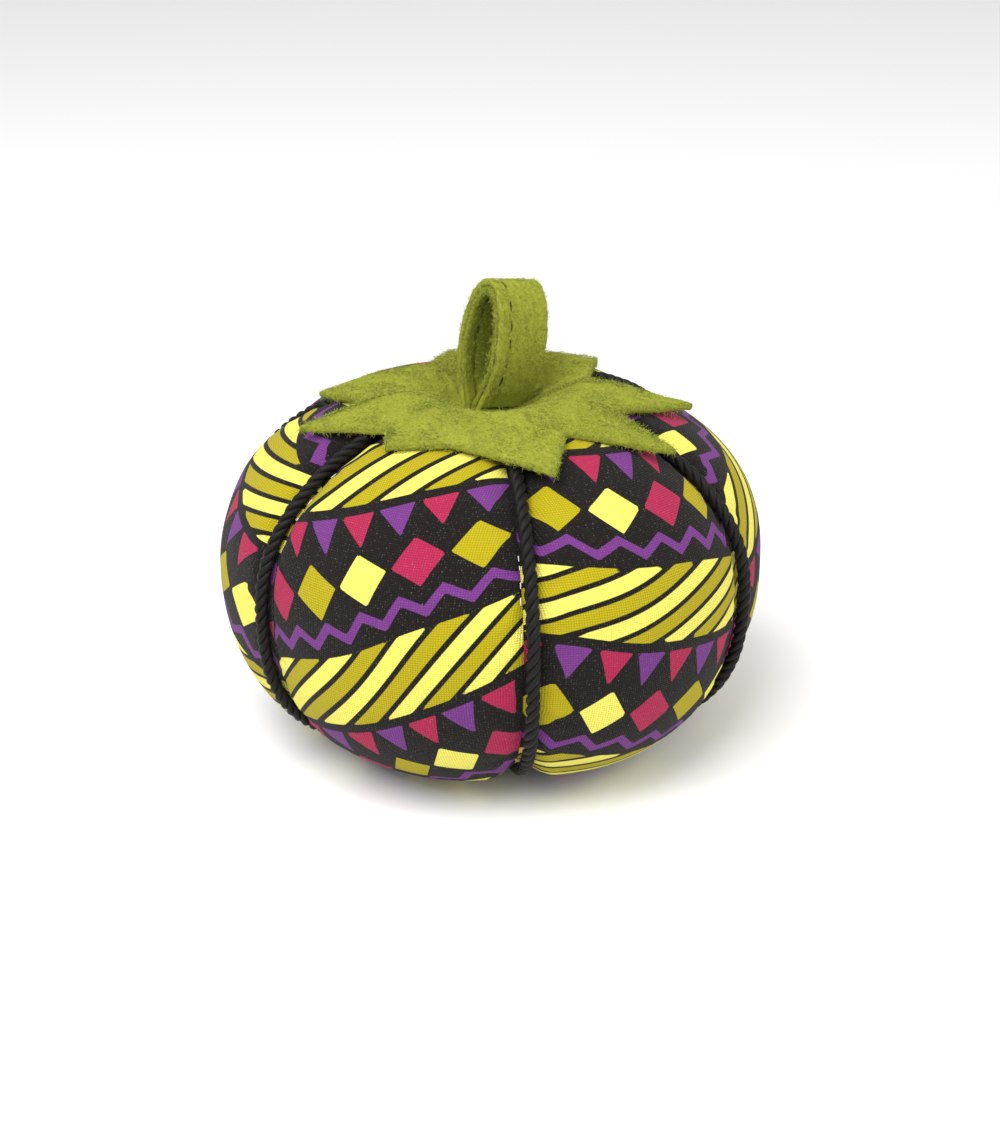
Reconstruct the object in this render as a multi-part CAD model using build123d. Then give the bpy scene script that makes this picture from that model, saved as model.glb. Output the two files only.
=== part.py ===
"""A pumpkin-shaped pin cushion: six printed cloth gores round a fibre filling, a twisted cord in each seam
groove, a thick felt star on top, and a hanging loop of two felt strips that stands up through the star.

Millimetres, +Z up. The origin is under the middle of the cushion, on the surface that it rests on. Angles are
degrees round +Z from +X. The hanging loop's hole runs along Y.
"""

import os
from math import cos, hypot, pi, radians, sin, tan

from build123d import *

# Cushion: each gore is a slice of a round body whose own axis stands off the cushion's axis
GORE_RADIUS = 33.2
GORE_SHIFT = 11.8
WIDEST_Z = 31.0
CROWN_RISE = 27.0  # from the widest plane to the top of a gore
BASE_DROP = 31.5  # the same downwards, before the base is flattened
CROWN_POWER = 2.1  # superellipse powers of a gore's outline above and below the widest plane
BASE_POWER = 2.4
SEAM_ANGLES = (-32, 26, 87, 148, 213, 265)
SEAM_SIDES = (-1, 1, 1, -1, 1, 1)  # which side of its cord each seam's sewing thread shows on
CLOTH = 0.5
FILLING_GAP = 0.1  # between the cloth and the filling
# (radius, height) down the dimples that the centre tie pulls in, from their rims
TOP_DIMPLE = ((20.0, 58.6), (15.0, 57.0), (10.0, 54.9), (5.0, 52.6), (0.0, 51.5))
BASE_DIMPLE = ((16.0, 0.0), (10.0, 3.1), (6.0, 4.7), (0.0, 6.0))
TIE_HOLE_RADIUS = 1.0
TIE_RADIUS = 0.6
TOP_KNOT_RADIUS = 1.05
BASE_KNOT_RADIUS = 1.9

# Cords: the middle of each one's path, as (radius, height), from the top dimple round to the bottom one
CORD_RADIUS = 1.05
CORD_REACH = 44.0  # from the axis at the widest plane
CORD_RISE = 28.5
CORD_DROP = 29.8
CORD_BASE_POWER = 2.8
CORD_TOP_END = ((6.6, 53.7), (10.0, 55.4), (14.5, 56.5))
CORD_BASE_END = ((14.5, 1.35), (10.5, 2.0), (6.6, 3.5))
CORD_SPACING = 11.0
GROOVE_RADIUS = 2.6
GROOVE_GAP = 0.06
SEAM_THREAD_RADIUS = 0.15
SEAM_THREAD_ASIDE = 1.4  # from the middle of its cord
SEAM_THREAD_DEPTH = 0.65  # under the middle of its cord

# Felt star: (radius, angle) of each point and of the notch after it
FELT = 1.5
STAR = (
    ((28.6, -138), (20.5, -113)),
    ((32.2, -111), (23.4, -84)),
    ((27.0, -77), (24.0, -56)),
    ((31.6, -22.5), (22.3, -9)),
    ((34.4, 15.5), (21.3, 23)),
    ((32.6, 50), (15.8, 57)),
    ((27.0, 98), (16.5, 127)),
    ((19.5, 161), (14.5, 186)),
)
# (radius, height) along the star's upper face
STAR_FACE = ((0, 55.1), (6, 56.1), (9, 57.8), (14, 59.8), (17, 59.8), (20, 59.4), (25, 58.0), (30, 56.8), (36, 55.9))

# Hanging loop: each strip's thickness, and the path between the two strips in the XZ plane, foot to foot
STRIP = 1.1
LOOP_WIDTH = 10.0
LOOP_LEAN = 11.0  # the loop leans this far towards +Y
FOOT_RADIUS = 2.9  # of the loop's foot about its hinge
LOOP_PATH = (
    (-1.2, -3.0),
    (-1.25, -1.3),
    (-3.6, 2.8),
    (-4.15, 8.2),
    (-3.2, 13.7),
    (-0.1, 17.3),
    (3.2, 14.8),
    (4.25, 9.7),
    (3.9, 4.4),
    (1.25, -1.3),
    (1.2, -3.0),
)
HINGE = (-0.25, 0.9, 58.2)
SLIT_HALF = (3.3, 5.8)
LOOP_END_SPAN = (1.4, 4.6)  # from the foot's middle
LOOP_END_THICKNESS = 1.3
STITCH_RADIUS = 0.22
STITCH_LENGTH = 2.0
STITCH_PITCH = 2.9
STITCH_LINE = -2.8  # along the hole, from the middle of the loop's width

TALL = 200.0  # larger than the cushion, for cutting tools


def superellipse(radius, height, power, steps):
    """Points of a quarter outline, from (radius, 0) to (0, height)."""
    made = []
    for i in range(steps + 1):
        t = pi / 2 * i / steps
        made.append((radius * cos(t) ** (2 / power), height * sin(t) ** (2 / power)))
    return made


def gore_round(inset):
    """The whole round body that a gore is a slice of, drawn in by inset all over."""
    radius = GORE_RADIUS - inset
    crown = superellipse(radius, CROWN_RISE - inset, CROWN_POWER, 9)
    base = superellipse(radius, BASE_DROP - inset, BASE_POWER, 9)
    upper = Spline(*[(r, 0, WIDEST_Z + z) for r, z in crown], tangents=[(0, 0, 1), (-1, 0, 0)])
    lower = Spline(*[(r, 0, WIDEST_Z - z) for r, z in base], tangents=[(0, 0, -1), (-1, 0, 0)])
    axis = Line(lower @ 1, upper @ 1)
    return revolve(make_face([upper, lower, axis]), Axis.Z)


def dimpled(inset):
    """A wide body of revolution whose top and bottom are drawn in at the middle, as the centre tie draws them."""
    top = [(r, 0, z - inset) for r, z in reversed(TOP_DIMPLE)]
    base = [(r, 0, z + inset) for r, z in BASE_DIMPLE]
    rims = [(TALL, 0, top[-1][2]), (TALL, 0, inset)]
    return revolve(make_face(Polyline(*top, *rims, *base, close=True)), Axis.Z)


def wedge(first, second):
    """The space between two seam planes."""
    half = radians((second - first) / 2)
    corners = [(0, 0)]
    for angle, size in ((first, TALL / cos(half)), ((first + second) / 2, TALL), (second, TALL / cos(half))):
        corners.append((size * cos(radians(angle)), size * sin(radians(angle))))
    return extrude(make_face(Polyline(*corners, close=True)), amount=TALL)


def spaced(points, spacing):
    """Points at even distances, near spacing, along a polyline."""
    lengths = [0.0]
    for (a, b), (c, d) in zip(points, points[1:]):
        lengths.append(lengths[-1] + hypot(c - a, d - b))
    count = round(lengths[-1] / spacing)
    made = []
    for i in range(count + 1):
        want = lengths[-1] * i / count
        k = max(j for j in range(len(points) - 1) if lengths[j] <= want + 1e-9)
        share = (want - lengths[k]) / (lengths[k + 1] - lengths[k])
        made.append(tuple(p + share * (q - p) for p, q in zip(points[k], points[k + 1])))
    return made


def cord_outline():
    """(radius, height) points that the middle of a cord passes through."""
    upper = superellipse(CORD_REACH, CORD_RISE, CROWN_POWER, 60)
    lower = superellipse(CORD_REACH, CORD_DROP, CORD_BASE_POWER, 60)
    side = [(r, WIDEST_Z + z) for r, z in reversed(upper) if r > CORD_TOP_END[-1][0] + 5]
    side += [(r, WIDEST_Z - z) for r, z in lower if 1 < z and r > CORD_BASE_END[0][0] + 5]
    return list(CORD_TOP_END) + spaced(side, CORD_SPACING) + list(CORD_BASE_END)


def longer(outline):
    """The same outline with both ends drawn out a little."""
    first, second, last, next_to_last = outline[0], outline[1], outline[-1], outline[-2]
    start = tuple(a + 0.3 * (a - b) for a, b in zip(first, second))
    end = tuple(a + 0.3 * (a - b) for a, b in zip(last, next_to_last))
    return [start] + outline[1:-1] + [end]


def arc_share(before, here, after):
    """A corner's arc: its radius, and how far it passes inside the corner."""
    run_in, run_out = Vector(*here) - Vector(*before), Vector(*after) - Vector(*here)
    turn = radians(run_in.get_angle(run_out))
    reach = 0.47 * min(run_in.length, run_out.length)
    return reach / tan(turn / 2), reach * tan(turn / 4)


def rounded_path(points):
    """Straight runs and tangent arcs through 3D points: every inner corner is moved out until its arc meets it."""
    corners = [points[0]]
    for before, here, after in zip(points, points[1:], points[2:]):
        out = (Vector(*here) - Vector(*before)).normalized() - (Vector(*after) - Vector(*here)).normalized()
        corners.append(tuple(Vector(*here) + out.normalized() * arc_share(before, here, after)[1]))
    corners.append(points[-1])
    radii = [arc_share(*three)[0] for three in zip(corners, corners[1:], corners[2:])]
    return FilletPolyline(*corners, radius=radii)


def seam_tube(angle, outwards, radius, outline, aside=0.0):
    """A round tube along a seam, moved outwards and aside from the cord's middle."""
    turn = radians(angle)
    points = []
    for i, (r, z) in enumerate(outline):
        before, after = outline[max(0, i - 1)], outline[min(len(outline) - 1, i + 1)]
        along = (after[0] - before[0], after[1] - before[1])
        r, z = r - along[1] / hypot(*along) * outwards, z + along[0] / hypot(*along) * outwards
        points.append((r * cos(turn) - aside * sin(turn), r * sin(turn) + aside * cos(turn), z))
    path = rounded_path(points)
    return sweep(Plane(path @ 0, z_dir=path % 0) * Circle(radius), path)


def gore_body(first, second, inset):
    """One sixth of the cushion, seam to seam, drawn in by inset from the cloth's outer face."""
    middle = radians((first + second) / 2)
    outwards = GROOVE_RADIUS - CORD_RADIUS - GROOVE_GAP
    body = Pos(GORE_SHIFT * cos(middle), GORE_SHIFT * sin(middle), 0) * gore_round(inset)
    for angle in (first, second):
        body -= seam_tube(angle, outwards, GROOVE_RADIUS + inset, longer(cord_outline()))
    return body & dimpled(inset) & wedge(first, second)


def gore_angles():
    """(first seam, second seam) of each gore, in degrees."""
    return list(zip(SEAM_ANGLES, SEAM_ANGLES[1:] + (SEAM_ANGLES[0] + 360,)))


def make_panel(first, second):
    """A gore of printed cloth: the skin of its sixth of the cushion."""
    return gore_body(first, second, 0) - gore_body(first, second, CLOTH) - Cylinder(TIE_HOLE_RADIUS, TALL)


def make_filling():
    """The fibre filling, one piece, with the hole that the centre tie makes through it."""
    body = None
    for first, second in gore_angles():
        sixth = gore_body(first, second, CLOTH + FILLING_GAP)
        body = sixth if body is None else body + sixth
    return body - Cylinder(TIE_HOLE_RADIUS, TALL)


def make_tie():
    """The strong thread through the middle, with the knots that draw both dimples in."""
    top = TOP_DIMPLE[-1][1] + TOP_KNOT_RADIUS
    base = BASE_DIMPLE[-1][1] - BASE_KNOT_RADIUS
    thread = Pos(0, 0, (top + base) / 2) * Cylinder(TIE_RADIUS, top - base)
    return thread + Pos(0, 0, top) * Sphere(TOP_KNOT_RADIUS) + Pos(0, 0, base) * Sphere(BASE_KNOT_RADIUS)


def star_dish(below, thickness):
    """A dished disc: the star's upper face and everything down to thickness below it, lowered by below."""
    over = Spline(*[(r, 0, z - below) for r, z in STAR_FACE])
    under = Spline(*[(r, 0, z - below - thickness) for r, z in STAR_FACE])
    return revolve(make_face([over, under, Line(under @ 0, over @ 0), Line(under @ 1, over @ 1)]), Axis.Z)


def make_star():
    """The felt star: a dished disc cut to its outline, with a slit for the hanging loop's foot."""
    corners = [corner for point_and_notch in STAR for corner in point_and_notch]
    flat = [(r * cos(radians(a)), r * sin(radians(a))) for r, a in corners]
    outline = extrude(make_face(Polyline(*flat, close=True)), amount=TALL)
    slit = Pos(HINGE[0], HINGE[1], 0) * Box(2 * SLIT_HALF[0], 2 * SLIT_HALF[1], TALL)
    return (star_dish(0, FELT) & outline) - slit


def make_loop_end(side):
    """Where a leg of the loop is sewn down: its strips' ends, turned out flat under the star."""
    near, far = LOOP_END_SPAN
    block = Pos(HINGE[0] + side * (near + far) / 2, 0, 0) * Box(far - near, LOOP_WIDTH - 1, TALL)
    return star_dish(FELT, LOOP_END_THICKNESS) & block


def loop_line():
    """The loop's path in the XZ plane, measured from the hinge."""
    return rounded_path([(x, 0, z) for x, z in LOOP_PATH])


def standing(shape):
    """Leans a piece of the loop towards +Y, puts it over the hinge and rounds its foot about the hinge."""
    below = Pos(0, 0, -TALL / 2) * Box(TALL, TALL, TALL)
    foot = Rot(90, 0, 0) * Cylinder(FOOT_RADIUS, LOOP_WIDTH + 2)
    return Pos(*HINGE) * (Rot(-LOOP_LEAN, 0, 0) * shape - (below - foot))


def make_strip(offset):
    """One felt strip of the hanging loop: its middle runs offset outside the loop's path."""
    path = loop_line()
    start = path @ 0
    return standing(sweep(Pos(start.X - offset, 0, start.Z) * Rectangle(STRIP, LOOP_WIDTH), path))


def make_stitches():
    """A running stitch near one rim of the loop: its short threads, turn about on the outside and the inside."""
    path = loop_line()
    made = []
    count = int((path.length - 8.0) / STITCH_PITCH)
    for i in range(2 * count + 1):
        at = (4.0 + i * STITCH_PITCH / 2) / path.length
        side = 1 if i % 2 == 0 else -1
        spot, along = path @ at, path % at
        out = Vector(-along.Z, 0, along.X)
        centre = spot + out * side * (STRIP + 0.6 * STITCH_RADIUS) + Vector(0, STITCH_LINE, 0)
        length = STITCH_LENGTH if side > 0 else 0.5 * STITCH_LENGTH
        made.append(standing(Plane(centre, z_dir=along) * Cylinder(STITCH_RADIUS, length)))
    return made


def write(name, shape):
    solids = []
    for item in shape if isinstance(shape, list) else [shape]:
        solids.extend(item.solids())
    export_step(Compound(children=solids) if len(solids) > 1 else solids[0], f"parts/{name}.step")
    print(name, len(solids), "solids")


def main():
    os.makedirs("parts", exist_ok=True)
    outline = cord_outline()
    for i, (first, second) in enumerate(gore_angles(), 1):
        write(f"panel_{i}", make_panel(first, second))
    for i, angle in enumerate(SEAM_ANGLES, 1):
        cord = seam_tube(angle, 0, CORD_RADIUS, outline)
        write(f"cord_{i}", cord)
        aside = SEAM_SIDES[i - 1] * SEAM_THREAD_ASIDE
        thread = seam_tube(angle, -SEAM_THREAD_DEPTH, SEAM_THREAD_RADIUS, outline[2:-2], aside)
        write(f"seam_thread_{i}", thread)
    print("cord length", round(cord.volume / (pi * CORD_RADIUS**2), 1))
    write("filling", make_filling())
    write("centre_tie", make_tie())
    write("felt_star", make_star())
    write("loop_end_1", make_loop_end(-1))
    write("loop_end_2", make_loop_end(1))
    write("loop_outer_strip", make_strip(STRIP / 2))
    write("loop_inner_strip", make_strip(-STRIP / 2))
    write("loop_stitches", make_stitches())


main()
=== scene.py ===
import math

import bpy
import numpy as np
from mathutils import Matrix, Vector


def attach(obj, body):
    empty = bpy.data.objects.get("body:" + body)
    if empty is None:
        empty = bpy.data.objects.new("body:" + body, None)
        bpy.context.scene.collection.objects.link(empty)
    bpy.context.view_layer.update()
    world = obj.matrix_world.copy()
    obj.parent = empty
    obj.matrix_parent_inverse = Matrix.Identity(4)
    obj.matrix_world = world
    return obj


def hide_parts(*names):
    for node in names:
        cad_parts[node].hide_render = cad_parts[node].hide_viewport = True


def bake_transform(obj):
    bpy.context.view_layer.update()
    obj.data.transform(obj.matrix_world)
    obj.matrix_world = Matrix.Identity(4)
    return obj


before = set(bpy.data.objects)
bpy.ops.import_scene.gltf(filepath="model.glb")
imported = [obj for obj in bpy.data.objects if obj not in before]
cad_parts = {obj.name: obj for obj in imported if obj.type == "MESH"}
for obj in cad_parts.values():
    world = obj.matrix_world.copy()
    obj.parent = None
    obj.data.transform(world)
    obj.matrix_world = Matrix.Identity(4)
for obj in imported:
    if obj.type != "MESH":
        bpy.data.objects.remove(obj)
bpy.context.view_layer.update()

# Lengths below are millimetres unless a name says otherwise. Turns are degrees round +Z from +X.
MM = 0.001
MIDDLE_Z = 31.0
CENTRE = np.array([0.0, 0.0, MIDDLE_Z])
LOBE_RADIUS = 33.2
LOBE_SHIFT = 11.8
CROWN_RISE = 27.2
BASE_DROP = 31.6
CROWN_POWER = 2.1
BASE_POWER = 2.4
SEAM_TURNS = (-32.0, 26.0, 87.0, 148.0, 213.0, 265.0)
SEAMS_ROUND = SEAM_TURNS + (SEAM_TURNS[0] + 360,)
SEAM_SIDES = (-1, 1, 1, -1, 1, 1)
SEAM_ASIDE = 1.35
CORD_RADIUS = 1.05
STRAND_RADIUS = 0.56
TWIST_PITCH = 5.6
CORD_REACH = 44.0
CORD_RISE = 28.5
CORD_DROP = 29.8
CORD_BASE_POWER = 2.8
CORD_TOP_END = ((6.6, 53.7), (10.0, 55.4), (14.5, 56.5))
CORD_BASE_END = ((14.5, 1.35), (10.5, 2.0), (6.6, 3.5))
TOP_DIMPLE = ((0.0, 52.0), (5.0, 53.0), (10.0, 55.2), (15.0, 57.2), (20.0, 59.0), (26.0, 62.0))
BASE_DIMPLE = ((0.0, 6.0), (6.0, 4.7), (10.0, 3.1), (16.0, 0.1), (24.0, -3.0))
HINGE = np.array([-0.25, 0.9, 58.2])
LOOP_LEAN = 11.0
LOOP_PATH = ((-1.2, -4.4), (-1.25, -2.6), (-1.9, -1.0), (-3.1, 1.6), (-3.95, 5.4), (-4.0, 9.0), (-3.3, 13.0),
             (-1.9, 16.1), (0.1, 17.3), (2.1, 16.2), (3.5, 13.2), (4.1, 9.4), (4.0, 5.6), (3.1, 1.8),
             (1.9, -1.0), (1.25, -2.6), (1.2, -4.4))
STRIP = 1.1
LOOP_WIDTH = 10.0
STITCH_LINE = -2.8


# ---------------------------------------------------------------- meshes

def add_mesh(name, points, faces, material):
    """A mesh object from points in millimetres."""
    mesh = bpy.data.meshes.new(name)
    mesh.from_pydata((np.asarray(points) * MM).tolist(), [], faces)
    mesh.validate()
    mesh.polygons.foreach_set("use_smooth", [True] * len(mesh.polygons))
    mesh.materials.append(material)
    thing = bpy.data.objects.new(name, mesh)
    bpy.context.collection.objects.link(thing)
    return thing


def grid_faces(rows, columns, close_columns=False, flip=False):
    """Quads over a grid of points stored row by row."""
    faces = []
    for i in range(rows - 1):
        for j in range(columns if close_columns else columns - 1):
            j2 = (j + 1) % columns
            quad = [i * columns + j, i * columns + j2, (i + 1) * columns + j2, (i + 1) * columns + j]
            faces.append(quad[::-1] if flip else quad)
    return faces


def set_numbers(thing, name, values):
    """Stores one number per point, for the materials to read."""
    held = thing.data.attributes.new(name, "FLOAT", "POINT")
    held.data.foreach_set("value", np.asarray(values, dtype=np.float32).ravel())


def lumps(points, size, seed, waves=9):
    """A smooth field between about -1 and 1 with bumps of about that size."""
    chance = np.random.default_rng(seed)
    total = np.zeros(points.shape[:-1])
    for _ in range(waves):
        way = chance.normal(size=3)
        way /= np.linalg.norm(way)
        rate = 2 * math.pi / size * chance.uniform(0.6, 1.5)
        total += np.sin(points @ way * rate + chance.uniform(0, 2 * math.pi))
    return total / math.sqrt(waves)


def smooth_min(a, b, width):
    """The smaller of two fields, with the crease between them rounded."""
    near = np.maximum(width - np.abs(a - b), 0) / width
    return np.minimum(a, b) - near * near * width / 4


def tangents_along(line):
    """Unit tangents of a polyline of points."""
    ways = np.gradient(line, axis=0)
    return ways / np.linalg.norm(ways, axis=1, keepdims=True)


def smooth_line(corners, count):
    """A smooth curve through corners, sampled evenly."""
    corners = np.asarray(corners, float)
    lead = 2 * corners[:1] - corners[1:2]
    tail = 2 * corners[-1:] - corners[-2:-1]
    held = np.vstack([lead, corners, tail])
    made = []
    for a, b, c, d in zip(held, held[1:], held[2:], held[3:]):
        for t in np.linspace(0, 1, 40, endpoint=False):
            made.append(0.5 * (2 * b + (c - a) * t + (2 * a - 5 * b + 4 * c - d) * t * t
                               + (3 * b - a - 3 * c + d) * t ** 3))
    made.append(held[-2])
    made = np.array(made)
    steps = np.concatenate([[0], np.cumsum(np.linalg.norm(np.diff(made, axis=0), axis=1))])
    even = np.linspace(0, steps[-1], count)
    return np.stack([np.interp(even, steps, made[:, k]) for k in range(made.shape[1])], axis=1)


def tube_points(line, radius, sides):
    """Rings round a line of points; radius is a number or one per point."""
    ways = tangents_along(line)
    side = np.cross(ways[0], [0.3, 0.5, 0.81])
    rings = []
    radius = np.broadcast_to(radius, (len(line),))
    angles = np.arange(sides) * 2 * math.pi / sides
    for point, way, size in zip(line, ways, radius):
        side = side - way * (side @ way)
        side /= np.linalg.norm(side)
        other = np.cross(way, side)
        rings.append(point + size * (np.outer(np.cos(angles), side) + np.outer(np.sin(angles), other)))
    return np.array(rings)


FIBRE_FACES = grid_faces(4, 3, close_columns=True) + [[2, 1, 0], [9, 10, 11]]
FIBRE_LENGTHS = (0.3, 0.85)
FIBRE_RADII = (0.014, 0.027)


class Heap:
    """Gathers many small shapes into one mesh."""

    def __init__(self):
        self.points = []
        self.faces = []
        self.count = 0

    def add(self, points, faces):
        points = np.asarray(points).reshape(-1, 3)
        self.faces += [[self.count + k for k in face] for face in faces]
        self.points.append(points)
        self.count += len(points)

    def tube(self, line, radius, sides=6):
        rings = tube_points(np.asarray(line), radius, sides)
        faces = grid_faces(len(line), sides, close_columns=True)
        faces += [list(range(sides))[::-1], [(len(line) - 1) * sides + k for k in range(sides)]]
        self.add(rings, faces)

    def fibres(self, bases, aways, chance):
        """Loose curved hairs that start at bases and lie nearly along a surface whose normals are aways."""
        count = len(bases)
        way = chance.normal(size=(count, 3))
        way -= aways * np.sum(way * aways, axis=1, keepdims=True)
        way /= np.linalg.norm(way, axis=1, keepdims=True)
        way += aways * chance.uniform(0.02, 0.32, (count, 1))
        bend = chance.normal(size=(count, 3)) * 0.3
        size = chance.uniform(*FIBRE_LENGTHS, (count, 1, 1))
        t = np.array([0.0, 0.33, 0.66, 1.0])[None, :, None]
        line = bases[:, None, :] + size * (way[:, None, :] * t + bend[:, None, :] * t * t)
        side = np.cross(way, [0.31, 0.52, 0.79])
        side /= np.linalg.norm(side, axis=1, keepdims=True)
        other = np.cross(way, side)
        other /= np.linalg.norm(other, axis=1, keepdims=True)
        ring = np.stack([side, 0.87 * other - 0.5 * side, -0.87 * other - 0.5 * side], axis=1)
        ring *= chance.uniform(*FIBRE_RADII, (count, 1, 1))
        points = line[:, :, None, :] + ring[:, None, :, :]
        faces = [[12 * k + corner for corner in face] for k in range(count) for face in FIBRE_FACES]
        self.add(points, faces)

    def make(self, name, material):
        return add_mesh(name, np.vstack(self.points), self.faces, material)


# ---------------------------------------------------------------- the cushion's shape

def lobe_reach(turn, rise):
    """How far a lobe's surface is from the cushion's centre, along rays; turn is from the lobe's middle."""
    low, high = np.zeros_like(turn), np.full_like(turn, 80.0)
    power = np.where(rise > 0, CROWN_POWER, BASE_POWER)
    height = np.where(rise > 0, CROWN_RISE, BASE_DROP)
    for _ in range(34):
        mid = (low + high) / 2
        flat = mid * np.cos(rise)
        out = np.hypot(flat * np.cos(turn) - LOBE_SHIFT, flat * np.sin(turn))
        inside = (out / LOBE_RADIUS) ** power + (np.abs(mid * np.sin(rise)) / height) ** power < 1
        low = np.where(inside, mid, low)
        high = np.where(inside, high, mid)
    return low


def cord_table():
    """(rise, reach) pairs of the cords' middle line round the cushion's centre, smoothed."""
    t = np.linspace(0, math.pi / 2, 120)
    r = CORD_REACH * np.cos(t)
    upper = CORD_RISE * (1 - (r / CORD_REACH) ** CROWN_POWER) ** (1 / CROWN_POWER)
    lower = CORD_DROP * (1 - (r / CORD_REACH) ** CORD_BASE_POWER) ** (1 / CORD_BASE_POWER)
    points = [(a, MIDDLE_Z + b) for a, b in zip(r, upper) if a > 19.5][::-1]
    points += [(a, MIDDLE_Z - b) for a, b in zip(r, lower) if a > 19.5][1:]
    points = list(CORD_TOP_END) + points + list(CORD_BASE_END)
    points = np.array([(0.0, 52.6)] + points + [(0.0, 4.9)])
    rise = np.arctan2(points[:, 1] - MIDDLE_Z, points[:, 0])
    reach = np.hypot(points[:, 1] - MIDDLE_Z, points[:, 0])
    even = np.linspace(-math.pi / 2, math.pi / 2, 721)
    held = np.interp(even, rise[::-1], reach[::-1])
    window = np.hanning(31)
    padded = np.pad(held, 15, mode="edge")
    return even, np.convolve(padded, window / window.sum(), mode="valid")


CORD_RISES, CORD_REACHES = cord_table()


def cord_reach(rise):
    return np.interp(rise, CORD_RISES, CORD_REACHES)


def dimple_reach(rise, table, sign):
    """Distance along rays to a surface of revolution given as (radius, height)."""
    rows = np.array(table)
    angles = np.arctan2(rows[:, 1] - MIDDLE_Z, rows[:, 0]) * sign
    reach = np.hypot(rows[:, 1] - MIDDLE_Z, rows[:, 0])
    order = np.argsort(angles)
    near = np.interp(rise * sign, angles[order], reach[order])
    return np.where(rise * sign < angles.min(), 90.0, near)


def surface(turn, rise, first, second):
    """Points of the cloth of the gore between two seams, for turns and rises in radians."""
    reach = lobe_reach(turn - (first + second) / 2, rise)
    reach = smooth_min(reach, dimple_reach(rise, TOP_DIMPLE, 1), 3.0)
    reach = smooth_min(reach, dimple_reach(rise, BASE_DIMPLE, -1), 2.5)
    reach = smooth_min(reach, MIDDLE_Z / np.maximum(np.sin(-rise), 0.05), 0.8)
    across = reach * np.cos(rise)
    from_seam = np.minimum(np.abs(np.sin(turn - first)), np.abs(np.sin(turn - second))) * across
    groove = cord_reach(rise) - CORD_RADIUS - 0.05 + 0.75 * np.maximum(from_seam - 0.9, 0) ** 1.15
    reach = smooth_min(reach, groove, 1.6)
    ray = np.stack([np.cos(rise) * np.cos(turn), np.cos(rise) * np.sin(turn), np.sin(rise)], axis=-1)
    points = CENTRE + ray * reach[..., None]
    # Uneven filling, and the small puckers that the sewing draws in beside a seam
    soft = lumps(points, 26.0, 5) * 0.22 * np.clip(from_seam / 6, 0, 1)
    along = rise * 40 + lumps(points, 9.0, 11) * 1.2
    pucker = 0.16 * np.exp(-((from_seam - 3.2) / 2.2) ** 2) * np.sin(along * 2 * math.pi / 4.2)
    points = points + ray * (soft + pucker)[..., None]
    # Nothing sinks into what the cushion stands on
    points[..., 2] = np.maximum(points[..., 2], 0.03)
    return points


def gore_grid(index, rows=210, columns=104):
    """Turns and rises of a gore's grid: even steps down its middle, and from seam to seam across."""
    first = math.radians(SEAM_TURNS[index])
    second = math.radians(SEAMS_ROUND[index + 1])
    fine = np.linspace(math.radians(89.7), math.radians(-89.7), 2000)
    line = surface(np.full_like(fine, (first + second) / 2), fine, first, second)
    steps = np.concatenate([[0], np.cumsum(np.linalg.norm(np.diff(line, axis=0), axis=1))])
    down = np.linspace(0, steps[-1], rows)
    rise = np.interp(down, steps, fine)
    flat = np.maximum(np.interp(down, steps, np.hypot(line[:, 0], line[:, 1])), 0.4)
    sides = (SEAM_SIDES[index], SEAM_SIDES[(index + 1) % 6])
    aside = SEAM_ASIDE * np.minimum(1, flat / 14) / flat
    low = first + sides[0] * aside
    high = second + sides[1] * aside
    share = np.linspace(0, 1, columns)
    turn = low[:, None] * (1 - share) + high[:, None] * share
    return turn, np.repeat(rise[:, None], columns, axis=1), down, first, second


# ---------------------------------------------------------------- materials

class Nodes:
    """Short calls for building a node tree."""

    def __init__(self, name):
        self.material = bpy.data.materials.new(name)
        self.material.use_nodes = True
        self.tree = self.material.node_tree
        self.shader = self.tree.nodes["Principled BSDF"]

    def new(self, kind, inputs=None, **settings):
        node = self.tree.nodes.new(kind)
        for key, value in settings.items():
            setattr(node, key, value)
        for key, value in (inputs or {}).items():
            self.put(node.inputs[key], value)
        return node

    def put(self, socket, value):
        if isinstance(value, bpy.types.NodeSocket):
            self.tree.links.new(value, socket)
        else:
            socket.default_value = value

    def math(self, operation, a, b=0.0, c=0.0):
        node = self.new("ShaderNodeMath", {0: a, 1: b, 2: c}, operation=operation)
        return node.outputs[0]

    def mix(self, share, a, b, blend="MIX"):
        node = self.new("ShaderNodeMix", {0: share, 6: a, 7: b}, data_type="RGBA", blend_type=blend)
        return node.outputs[2]

    def number(self, name):
        return self.new("ShaderNodeAttribute", attribute_name=name).outputs["Fac"]

    def noise(self, scale, detail=2.0, rough=0.5, vector=None, distortion=0.0):
        inputs = {"Scale": scale, "Detail": detail, "Roughness": rough, "Distortion": distortion}
        if vector is not None:
            inputs["Vector"] = vector
        return self.new("ShaderNodeTexNoise", inputs).outputs["Fac"]

    def place(self):
        return self.new("ShaderNodeTexCoord").outputs["Object"]

    def ramp(self, value, low, high, start=0.0, end=1.0):
        inputs = {0: value, 1: low, 2: high, 3: start, 4: end}
        return self.new("ShaderNodeMapRange", inputs).outputs[0]

    def bump(self, height, distance, strength):
        inputs = {"Height": height, "Distance": distance, "Strength": strength}
        return self.new("ShaderNodeBump", inputs).outputs[0]


def tone(red, green, blue):
    """A colour from 0 to 255 display values, as linear light."""
    return tuple((v / 255) ** 2.2 for v in (red, green, blue)) + (1.0,)


BLACK = tone(28, 25, 23)
COLOURS = {
    "yellow": tone(230, 221, 98),
    "olive": tone(168, 154, 20),
    "magenta": tone(162, 40, 75),
    "purple": tone(108, 54, 122),
}
THREAD_PITCH = 0.38


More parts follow.
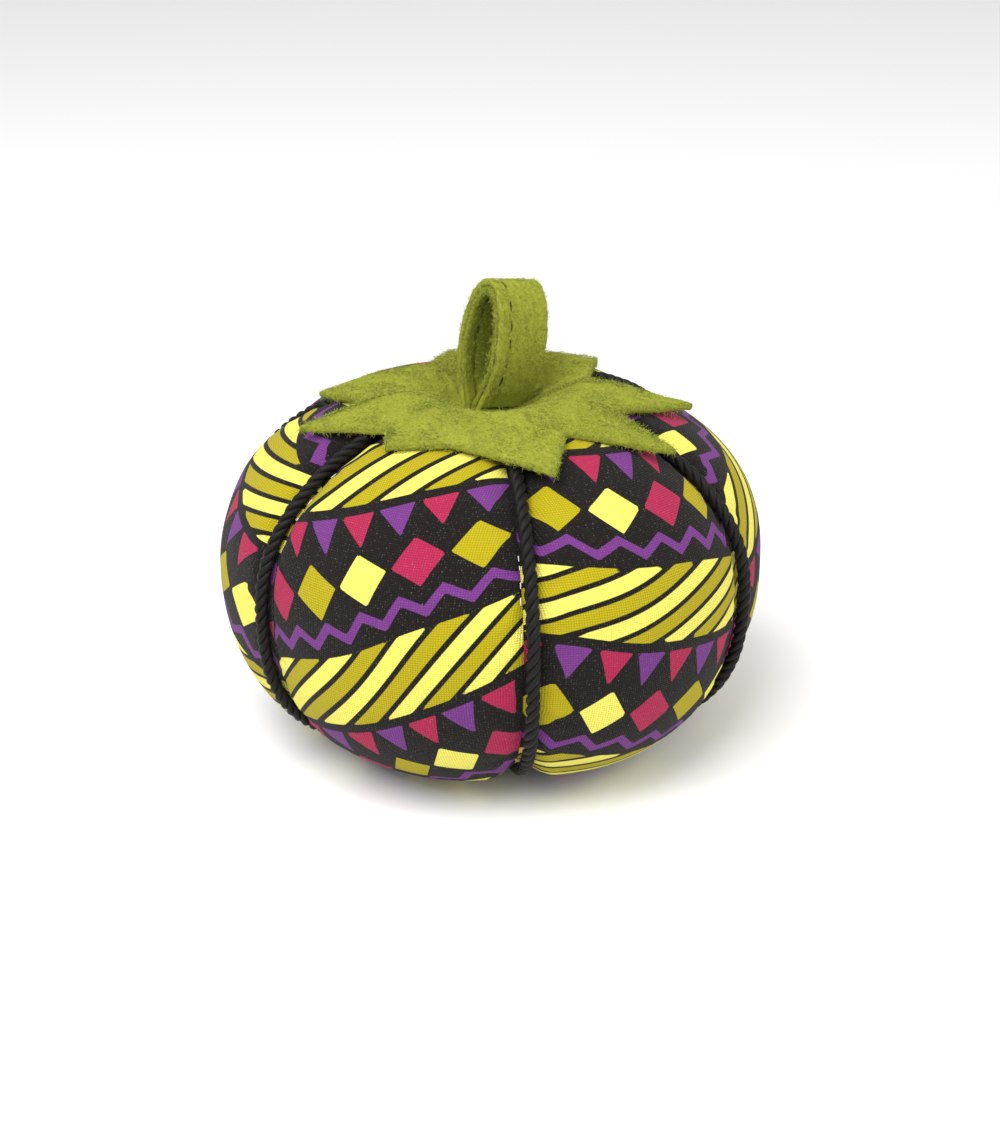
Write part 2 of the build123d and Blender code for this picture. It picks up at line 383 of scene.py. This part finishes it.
def print_material():
    """Printed cotton: the print's areas from stored distances, under a plain weave with pale flecks."""
    n = Nodes("printed_cotton")
    across, down = n.number("across"), n.number("down")
    rate = 2 * math.pi / THREAD_PITCH
    warp = n.math("SINE", n.math("MULTIPLY", across, rate / 2))
    weft = n.math("SINE", n.math("MULTIPLY", down, rate / 2))
    weave = n.math("ABSOLUTE", n.math("MULTIPLY", warp, weft))
    colour = BLACK
    for name in COLOURS:
        share = n.ramp(n.number("in_" + name), 0.05, -0.05)
        colour = n.mix(share, colour, COLOURS[name])
    where = n.place()
    fleck = n.noise(2600.0, 2.0, 0.6, where)
    fleck = n.math("MULTIPLY", n.ramp(fleck, 0.55, 0.75), n.ramp(weave, 0.3, 0.9))
    colour = n.mix(n.math("MULTIPLY", fleck, 0.3), colour, tone(150, 144, 132))
    shade = n.ramp(weave, 0.0, 1.0, 0.72, 1.08)
    grey = n.new("ShaderNodeCombineColor", {0: shade, 1: shade, 2: shade}).outputs[0]
    colour = n.mix(1.0, colour, grey, "MULTIPLY")
    n.put(n.shader.inputs["Base Color"], colour)
    n.put(n.shader.inputs["Roughness"], 0.82)
    n.put(n.shader.inputs["Sheen Weight"], 0.05)
    n.put(n.shader.inputs["Sheen Roughness"], 0.5)
    n.put(n.shader.inputs["Specular IOR Level"], 0.12)
    slub = n.noise(900.0, 3.0, 0.6, where)
    height = n.math("ADD", weave, n.math("MULTIPLY", slub, 0.6))
    n.put(n.shader.inputs["Normal"], n.bump(height, 0.00012, 0.7))
    return n.material


def felt_material(name, base, dark):
    n = Nodes(name)
    where = n.place()
    broad = n.noise(260.0, 3.0, 0.55, where)
    fine = n.noise(1500.0, 4.0, 0.65, where, 1.5)
    hair = n.noise(3800.0, 2.0, 0.6, where, 3.0)
    colour = n.mix(n.ramp(broad, 0.3, 0.7), tuple(v * 0.9 for v in base[:3]) + (1.0,), base)
    colour = n.mix(n.ramp(fine, 0.38, 0.62, 0.0, 0.55), colour, dark)
    pale = tuple(min(1.0, v * 1.35) for v in base[:3]) + (1.0,)
    colour = n.mix(n.ramp(hair, 0.55, 0.72, 0.0, 0.5), colour, pale)
    n.put(n.shader.inputs["Base Color"], colour)
    n.put(n.shader.inputs["Roughness"], 0.95)
    n.put(n.shader.inputs["Specular IOR Level"], 0.15)
    n.put(n.shader.inputs["Sheen Weight"], 0.35)
    n.put(n.shader.inputs["Sheen Tint"], base)
    height = n.math("ADD", fine, n.math("MULTIPLY", hair, 0.5))
    n.put(n.shader.inputs["Normal"], n.bump(height, 0.0003, 0.8))
    return n.material


def fibre_material():
    """Loose felt fibres, some pale and some dark."""
    n = Nodes("felt_fibres")
    chance = n.noise(2600.0, 1.0, 0.5, n.place())
    colour = n.mix(n.ramp(chance, 0.42, 0.58), tone(118, 126, 38), tone(170, 176, 84))
    n.put(n.shader.inputs["Base Color"], colour)
    n.put(n.shader.inputs["Roughness"], 0.95)
    n.put(n.shader.inputs["Specular IOR Level"], 0.1)
    return n.material


def plain_material(name, colour, roughness, sheen=0.0, grain=0.0):
    n = Nodes(name)
    n.put(n.shader.inputs["Base Color"], colour)
    n.put(n.shader.inputs["Roughness"], roughness)
    n.put(n.shader.inputs["Sheen Weight"], sheen)
    if grain:
        height = n.noise(grain, 3.0, 0.6, n.place())
        n.put(n.shader.inputs["Normal"], n.bump(height, 0.00008, 0.6))
    return n.material


PRINT = print_material()
FELT_TONE = tone(147, 152, 56)
FELT = felt_material("green_felt", FELT_TONE, tone(98, 105, 24))
# The loop's inner strip: the same felt in a darker tone, which is painted shade inside the loop
SHADED_INNER_FELT = felt_material("inner_green_felt_painted_shade", tone(126, 132, 46), tone(84, 90, 22))
CORD = plain_material("satin_cord", tone(17, 15, 13), 0.6, 0.02, 4000.0)
CORD.node_tree.nodes["Principled BSDF"].inputs["Specular IOR Level"].default_value = 0.22
# Dark thread for the loop's sewing; the same material also paints the shade in the crease at the loop's foot
DARK_THREAD_AND_CREASE_SHADE = plain_material("dark_thread", tone(40, 46, 14), 0.9, 0.0, 5000.0)
FIBRES = fibre_material()
FIBRE = plain_material("pale_fibre", tone(225, 222, 214), 0.9, 0.3, 900.0)
WHITE_THREAD = plain_material("white_thread", tone(226, 218, 212), 0.8, 0.2, 5000.0)


# ---------------------------------------------------------------- the print, on the flat cloth

FAR_OFF = 9.0
REPEAT = 34.0
TILE_LINE = 4.4
TILE_PITCH = 9.2
TILE_HALF = 4.2
ZIGZAG_LINE = 11.0
ZIGZAG_PITCH = 7.0
ZIGZAG_SWING = 1.3
ZIGZAG_HALF = 0.85
STRIPES_FROM = 14.4
STRIPES_TO = 26.2
STRIPE_LEAN = 62
STRIPE_WIDTH = 3.2
STRIPE_GAP = 0.42
TRIANGLE_LINE = 27.8
TRIANGLE_PITCH = 6.4
TRIANGLE_HALF = 2.8
TURNS_AND_SHIFTS = ((12, 0), (-18, 11), (24, 22), (-12, 6), (18, 17), (-24, 28))


class Print:
    """Areas of colour on black cloth, held as signed distances, negative inside."""

    def __init__(self, across, down):
        self.x, self.y = across, down
        self.areas = {name: np.full(across.shape, FAR_OFF) for name in COLOURS}

    def add(self, name, area):
        self.areas[name] = np.minimum(self.areas[name], area)

    def row(self, names, column, motif):
        """A row of one motif whose columns take these colours in turn."""
        for part, name in enumerate(names):
            self.add(name, np.where(np.mod(column, len(names)) == part, motif, FAR_OFF))

    def stripes(self, area, slant):
        """Yellow and olive stripes in an area, with black between them."""
        slope = math.radians(slant)
        run = self.x * math.cos(slope) + self.y * math.sin(slope)
        for part, name in enumerate(("yellow", "olive")):
            place = np.mod(run / STRIPE_WIDTH - part, 2.0)
            stripe = (np.abs(place - 0.5 - 2.0 * (place > 1.5)) - 0.5) * STRIPE_WIDTH
            self.add(name, np.maximum(area, stripe + STRIPE_GAP))


def print_repeat(p, slant, shift):
    """A plain regular repeat, turned by slant: diamonds, a zigzag, a band of stripes, triangles."""
    slope = math.radians(slant)
    u = p.x * math.cos(slope) + p.y * math.sin(slope)
    v = np.mod(p.y * math.cos(slope) - p.x * math.sin(slope) + shift, REPEAT)
    p.stripes(np.maximum(STRIPES_FROM - v, v - STRIPES_TO), slant + STRIPE_LEAN)
    column = np.floor(u / TILE_PITCH)
    a, b = (u / TILE_PITCH - column - 0.5) * TILE_PITCH, v - TILE_LINE
    # 0.7 is near the root of a half, which makes this sum a distance
    p.row(("yellow", "magenta", "olive"), column, 0.7 * (np.abs(a) + np.abs(b) - TILE_HALF))
    swing = ZIGZAG_SWING * np.abs(np.mod(u / ZIGZAG_PITCH, 1.0) * 4 - 2)
    p.add("purple", np.abs(v - ZIGZAG_LINE - swing + ZIGZAG_SWING) - ZIGZAG_HALF)
    column = np.floor(u / TRIANGLE_PITCH)
    c, w = (u / TRIANGLE_PITCH - column - 0.5) * TRIANGLE_PITCH, v - TRIANGLE_LINE
    p.row(("magenta", "purple"), column, np.maximum(np.abs(c) + 0.5 * w - TRIANGLE_HALF, -w))


# ---------------------------------------------------------------- the printed gores

def make_panels():
    made = []
    for index in range(6):
        turn, rise, down, first, second = gore_grid(index)
        points = surface(turn, rise, first, second)
        rows, columns = turn.shape
        faces = grid_faces(rows, columns, flip=True)
        panel = add_mesh(f"gore_{index + 1}", points.reshape(-1, 3), faces, PRINT)
        across = np.hypot(points[..., 0], points[..., 1]) * (turn - (first + second) / 2)
        down = np.repeat(down[:, None], columns, axis=1)
        set_numbers(panel, "across", across)
        set_numbers(panel, "down", down)
        cloth = Print(across + lumps(points, 30.0, 41) * 0.5, down + lumps(points, 30.0, 42) * 0.5)
        print_repeat(cloth, *TURNS_AND_SHIFTS[index])
        for name, area in cloth.areas.items():
            set_numbers(panel, "in_" + name, np.clip(area, -3, 3))
        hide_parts(f"panel_{index + 1}")
        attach(panel, "cushion")
        made.append(panel)
    return made


def make_filling():
    """The pale fibre filling, just under the cloth all round."""
    rises = np.linspace(math.radians(89.5), math.radians(-89.5), 90)
    columns = []
    for first, second in zip(SEAMS_ROUND, SEAMS_ROUND[1:]):
        turns = np.radians(np.linspace(first, second, 22, endpoint=False))
        turn, rise = np.meshgrid(turns, rises)
        points = surface(turn, rise, math.radians(first), math.radians(second))
        columns.append(points)
    points = np.concatenate(columns, axis=1)
    inwards = CENTRE - points
    points = points + inwards / np.linalg.norm(inwards, axis=-1, keepdims=True) * 0.9
    rows, count = points.shape[:2]
    faces = grid_faces(rows, count, close_columns=True, flip=True)
    faces += [list(range(count)), [(rows - 1) * count + k for k in reversed(range(count))]]
    filling = add_mesh("fibre_filling", points.reshape(-1, 3), faces, FIBRE)
    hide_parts("filling")
    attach(filling, "cushion")


def make_seam_stitches():
    """Short pale stitches that show here and there where two gores meet beside a cord."""
    chance = np.random.default_rng(8)
    for index, seam in enumerate(SEAM_TURNS):
        first = SEAM_TURNS[index - 1] - (360 if index == 0 else 0)
        after = SEAMS_ROUND[index + 1]
        ends = (seam, after) if SEAM_SIDES[index] > 0 else (first, seam)
        heap = Heap()
        rise = math.radians(64)
        while rise > math.radians(-66):
            spread = rise - np.linspace(0.0, chance.uniform(0.012, 0.026), 5)
            flat = np.cos(spread) * cord_reach(spread)
            turn = math.radians(seam) + SEAM_SIDES[index] * (SEAM_ASIDE + chance.uniform(-0.1, 0.35)) / flat
            points = surface(turn, spread, math.radians(ends[0]), math.radians(ends[1]))
            if chance.uniform() < 0.2 + 0.35 * math.sin(rise * 6 + index):
                heap.tube(points, 0.085)
            rise -= chance.uniform(0.03, 0.06)
        stitches = heap.make(f"seam_stitches_{index + 1}", WHITE_THREAD)
        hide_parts(f"seam_thread_{index + 1}")
        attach(stitches, "cushion")


def make_cords():
    """Three strands twisted round each seam's line."""
    rises = np.linspace(math.radians(66.0), math.radians(-75.0), 620)
    for index, seam in enumerate(SEAM_TURNS):
        turn = math.radians(seam)
        flat = np.cos(rises) * cord_reach(rises)
        height = MIDDLE_Z + np.sin(rises) * cord_reach(rises)
        line = np.stack([flat * math.cos(turn), flat * math.sin(turn), height], 1)
        ways = tangents_along(line)
        side = np.array([-math.sin(turn), math.cos(turn), 0.0])
        out = np.cross(ways, side)
        steps = np.concatenate([[0], np.cumsum(np.linalg.norm(np.diff(line, axis=0), axis=1))])
        heap = Heap()
        for strand in range(3):
            angle = 2 * math.pi * (steps / TWIST_PITCH + strand / 3)
            off = STRAND_RADIUS * (np.cos(angle)[:, None] * side + np.sin(angle)[:, None] * out)
            heap.tube(line + off, STRAND_RADIUS, 8)
        cord = heap.make(f"twisted_cord_{index + 1}", CORD)
        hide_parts(f"cord_{index + 1}")
        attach(cord, "cushion")


# ---------------------------------------------------------------- the felt star and the hanging loop

# (distance from the middle, turn) of the star's tips and notches
STAR_CORNERS = (
    (28.6, -138), (20.5, -113), (32.2, -111), (23.4, -84),
    (27.0, -77), (24.0, -56), (31.6, -22.5), (22.3, -9),
    (34.4, 15.5), (21.3, 23), (32.6, 50), (15.8, 57),
    (27.0, 98), (16.5, 127), (19.5, 161), (14.5, 186),
)
# (distance from the middle, height) of the star's upper face
STAR_FACE = (
    (0, 55.1), (6, 56.1), (9, 57.8), (14, 59.8), (17, 59.8), (20, 59.4), (25, 58.0), (30, 56.8), (36, 55.9),
)
FELT_THICKNESS = 1.5


def star_corners():
    return [(r * math.cos(math.radians(a)), r * math.sin(math.radians(a))) for r, a in STAR_CORNERS]


def star_height(flat):
    rows = np.array(STAR_FACE, float)
    dense = smooth_line(rows, 200)
    return np.interp(flat, dense[:, 0], dense[:, 1])


def make_star():
    """The felt star: rings of points from its middle out to its cut edge, over and under."""
    corners = star_corners()
    outline = []
    for (x1, y1), (x2, y2) in zip(corners, corners[1:] + corners[:1]):
        for t in np.linspace(0, 1, 26, endpoint=False):
            outline.append((x1 + (x2 - x1) * t, y1 + (y2 - y1) * t))
    outline = np.array(outline)
    shares = np.concatenate([np.linspace(0.02, 0.94, 44), [0.965, 0.985, 0.996, 1.0]])
    inset = np.concatenate([np.zeros(44), [0.03, 0.12, 0.32, 0.62]])
    top, base = [], []
    for share, drop in zip(shares, inset):
        flat = outline * share
        z = star_height(np.hypot(flat[:, 0], flat[:, 1]))
        top.append(np.column_stack([flat, z - drop]))
        base.append(np.column_stack([flat, z - FELT_THICKNESS + drop]))
    rings = np.array(top + base[::-1])
    rings = rings + lumps(rings, 2.0, 21)[..., None] * np.array([0.05, 0.05, 0.06])
    rings = rings + lumps(rings, 9.0, 22)[..., None] * np.array([0.0, 0.0, 0.12])
    count = len(outline)
    height = star_height(0)
    points = np.vstack([rings.reshape(-1, 3), [[0, 0, height], [0, 0, height - FELT_THICKNESS]]])
    faces = grid_faces(len(rings), count, close_columns=True)
    middle = len(points) - 2
    last = (len(rings) - 1) * count
    for k in range(count):
        faces.append([middle, k, (k + 1) % count])
        faces.append([middle + 1, last + (k + 1) % count, last + k])
    star = add_mesh("felt_star_look", points, faces, FELT)
    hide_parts("felt_star")
    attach(star, "cushion")
    flat = np.ptp(outline, axis=0) * MM


def loop_frame():
    """The loop's middle line and outward directions, in the loop's own plane."""
    line = smooth_line(LOOP_PATH, 240)
    ways = tangents_along(line)
    out = np.stack([-ways[:, 1], ways[:, 0]], axis=1)
    return line, out


def stand(points):
    """Leans points of the loop's own frame (x, along the hole, z) and sets them over the hinge."""
    points = np.asarray(points, float)
    lean = math.radians(LOOP_LEAN)
    x, y, z = points[..., 0], points[..., 1], points[..., 2]
    leant_y = y * math.cos(lean) + z * math.sin(lean)
    leant_z = z * math.cos(lean) - y * math.sin(lean)
    return HINGE + np.stack([x, leant_y, leant_z], -1)


def stitched(y):
    """How far the loop's sewing draws the felt in, at a distance along the hole."""
    return 0.3 * np.exp(-((y - STITCH_LINE) / 0.42) ** 2)


def make_strip(name, node, near, far, seed):
    """A felt strip between two distances outside the loop's middle line."""
    line, out = loop_frame()
    half = LOOP_WIDTH / 2
    across = np.linspace(-half + 0.3, half - 0.3, 48)
    edge = [(far - 0.12, half - 0.1), (far - 0.3, half), (near + 0.3, half), (near + 0.12, half - 0.1)]
    rim = [(far - (stitched(y) if far > 0.5 else 0), y) for y in across] + edge
    rim += [(near + (stitched(y) if near < -0.5 else 0), y) for y in across[::-1]]
    rim += [(side, -y) for side, y in reversed(edge)]
    rim = np.array(rim)
    flat = line[:, None, :] + out[:, None, :] * rim[None, :, :1]
    rings = np.stack([flat[..., 0], np.broadcast_to(rim[:, 1], flat.shape[:2]), flat[..., 1]], axis=-1)
    rings = rings + lumps(rings, 1.8, seed)[..., None] * 0.05
    points = stand(rings)
    faces = grid_faces(len(line), len(rim), close_columns=True)
    faces += [list(range(len(rim))), [(len(line) - 1) * len(rim) + k for k in reversed(range(len(rim)))]]
    # The inner strip takes the darker felt, which is painted shade inside the loop
    strip = add_mesh(name, points.reshape(-1, 3), faces, FELT if far > 0.5 else SHADED_INNER_FELT)
    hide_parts(node)
    blend_loop(strip)


def blend_loop(thing):
    """Bakes a piece of the loop's placement into its mesh."""
    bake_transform(thing)


def make_loop_stitches():
    """The running stitch beside the loop's near edge, outside and inside, in the furrow that it draws."""
    line, out = loop_frame()
    steps = np.concatenate([[0], np.cumsum(np.linalg.norm(np.diff(line, axis=0), axis=1))])
    heap = Heap()
    for side, start in ((1, 0.0), (-1, 1.5)):
        for begin in np.arange(6.0 + start, steps[-1] - 6.0, 3.0):
            where = np.linspace(begin, begin + 1.9, 9)
            sink = 0.3 * np.abs(np.linspace(-1, 1, 9)) ** 3
            away = side * (STRIP - 0.24 - sink)
            x = np.interp(where, steps, line[:, 0]) + away * np.interp(where, steps, out[:, 0])
            z = np.interp(where, steps, line[:, 1]) + away * np.interp(where, steps, out[:, 1])
            heap.tube(stand(np.stack([x, np.full(9, STITCH_LINE), z], 1)), 0.14)
    stitches = heap.make("loop_sewing", DARK_THREAD_AND_CREASE_SHADE)
    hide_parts("loop_stitches")
    blend_loop(stitches)


def make_loop_fuzz():
    """Loose fibres on the loop's faces and rims."""
    line, out = loop_frame()
    chance = np.random.default_rng(77)
    half = LOOP_WIDTH / 2
    count = 11000
    k = chance.integers(26, len(line) - 26, count)
    side = chance.choice((-1.0, 1.0), count)
    on_rim = chance.uniform(size=count) < 0.3
    y = np.where(on_rim, side * half, chance.uniform(-half, half, count))
    reach = np.where(on_rim, chance.uniform(-STRIP, STRIP, count), side * STRIP)
    bases = np.stack([line[k, 0] + out[k, 0] * reach, y, line[k, 1] + out[k, 1] * reach], axis=1)
    faces_out = np.stack([out[k, 0] * side, np.zeros(count), out[k, 1] * side], axis=1)
    rim_out = np.stack([np.zeros(count), side, np.zeros(count)], axis=1)
    heap = Heap()
    heap.fibres(bases, np.where(on_rim[:, None], rim_out, faces_out), chance)
    heap.points = [stand(part) for part in heap.points]
    fuzz = heap.make("loop_fuzz", FIBRES)
    blend_loop(fuzz)


def make_star_fuzz():
    """Loose fibres on the star's upper face and along its cut edge."""
    corners = np.array(star_corners())
    chance = np.random.default_rng(78)
    count = 30000
    k = chance.integers(len(corners), size=count)
    way = np.roll(corners, -1, axis=0)[k] - corners[k]
    edge = corners[k] + way * chance.uniform(size=(count, 1))
    on_edge = chance.uniform(size=count) < 0.16
    share = np.where(on_edge, 1.0, np.sqrt(chance.uniform(0.02, 1.0, count)))
    flat = edge * share[:, None]
    z = star_height(np.hypot(flat[:, 0], flat[:, 1]))
    z = z - np.where(on_edge, chance.uniform(0.1, FELT_THICKNESS - 0.1, count), 0)
    edge_out = np.stack([way[:, 1], -way[:, 0], np.zeros(count)], axis=1)
    edge_out /= np.linalg.norm(edge_out, axis=1, keepdims=True)
    heap = Heap()
    heap.fibres(np.column_stack([flat, z]), np.where(on_edge[:, None], edge_out, [0.0, 0.0, 1.0]), chance)
    fuzz = heap.make("star_fuzz", FIBRES)
    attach(fuzz, "cushion")


def make_painted_crease_shade():
    """A dark tube in the crease where the loop's front strip goes down into the star: painted shade in the
    crease.
    """
    line, out = loop_frame()
    heap = Heap()
    k = int(np.argmin(np.abs(line[120:, 1] + 1.6))) + 120
    flat = line[k] + out[k] * (STRIP + 0.02)
    y = np.linspace(-4.7, 4.4, 40)
    points = stand(np.stack([np.full(40, flat[0]), y, np.full(40, flat[1]) + 0.08 * np.sin(y * 2.3)], 1))
    # This dark tube is painted crease shade, not a thread
    heap.tube(points, 0.16)
    crease = heap.make("foot_crease_painted_shade", DARK_THREAD_AND_CREASE_SHADE)
    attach(crease, "cushion")


def make_loop():
    make_strip("loop_outer_look", "loop_outer_strip", 0.02, STRIP, 31)
    make_strip("loop_inner_look", "loop_inner_strip", -STRIP, -0.02, 32)
    make_loop_stitches()
    make_loop_fuzz()
    make_painted_crease_shade()


# ---------------------------------------------------------------- floor, light and camera

PHOTO_TURN = 50.0
PHOTO_RISE = 23.5
PHOTO_FAR = 350.0
LENS = 66.9
AIM_RIGHT = 1.32
AIM_DOWN = 2.76
FLOOR_METRES = 2.0


def make_stage():
    size = FLOOR_METRES
    corners = [(-size, -size, 0), (size, -size, 0), (size, size, 0), (-size, size, 0)]
    mesh = bpy.data.meshes.new("floor")
    mesh.from_pydata(corners, [], [[0, 1, 2, 3]])
    floor = bpy.data.objects.new("floor", mesh)
    bpy.context.collection.objects.link(floor)
    floor.data.materials.append(plain_material("pale_floor", (0.86, 0.86, 0.86, 1), 0.9))
    world = bpy.data.worlds.new("soft_surround")
    bpy.context.scene.world = world
    world.use_nodes = True
    background = world.node_tree.nodes["Background"]
    background.inputs[0].default_value = (1, 1, 1, 1)
    background.inputs[1].default_value = 0.75


def way_towards(turn, rise):
    """The unit direction from the cushion to a viewer or lamp. Both angles are radians."""
    return Vector((math.sin(turn) * math.cos(rise), -math.cos(turn) * math.cos(rise), math.sin(rise)))


def add_light(name, turn, rise, far, size, watts):
    """A square soft light, placed by its turn from the photograph's view. far and size are metres."""
    way = way_towards(math.radians(PHOTO_TURN + turn), math.radians(rise))
    data = bpy.data.lights.new(name, "AREA")
    data.energy = watts
    data.size = size
    lamp = bpy.data.objects.new(name, data)
    lamp.location = Vector((0, 0, 0.03)) + way * far
    lamp.rotation_euler = (-way).to_track_quat("-Z", "Y").to_euler()
    bpy.context.collection.objects.link(lamp)


def make_camera():
    """The photograph's view, aimed a little right of and below the cushion's centre."""
    a, e = math.radians(PHOTO_TURN), math.radians(PHOTO_RISE)
    right = Vector((math.cos(a), math.sin(a), 0))
    up = Vector((-math.sin(a) * math.sin(e), math.cos(a) * math.sin(e), math.cos(e)))
    centre = Vector(CENTRE)
    place = centre + way_towards(a, e) * PHOTO_FAR
    aim = centre + right * AIM_RIGHT - up * AIM_DOWN
    data = bpy.data.cameras.new("photo_camera")
    data.lens = LENS
    data.sensor_width = 36.0
    data.clip_start = 0.01
    camera = bpy.data.objects.new("photo_camera", data)
    camera.location = place * MM
    camera.rotation_euler = (aim - place).to_track_quat("-Z", "Y").to_euler()
    bpy.context.collection.objects.link(camera)
    bpy.context.scene.camera = camera


make_filling()
panels = make_panels()
make_seam_stitches()
make_cords()
make_star()
make_star_fuzz()
make_loop()
make_stage()
add_light("key", -35, 55, 0.7, 0.5, 6)
add_light("fill", 60, 30, 0.8, 0.7, 2.5)
make_camera()
bpy.context.scene.view_settings.view_transform = "Standard"
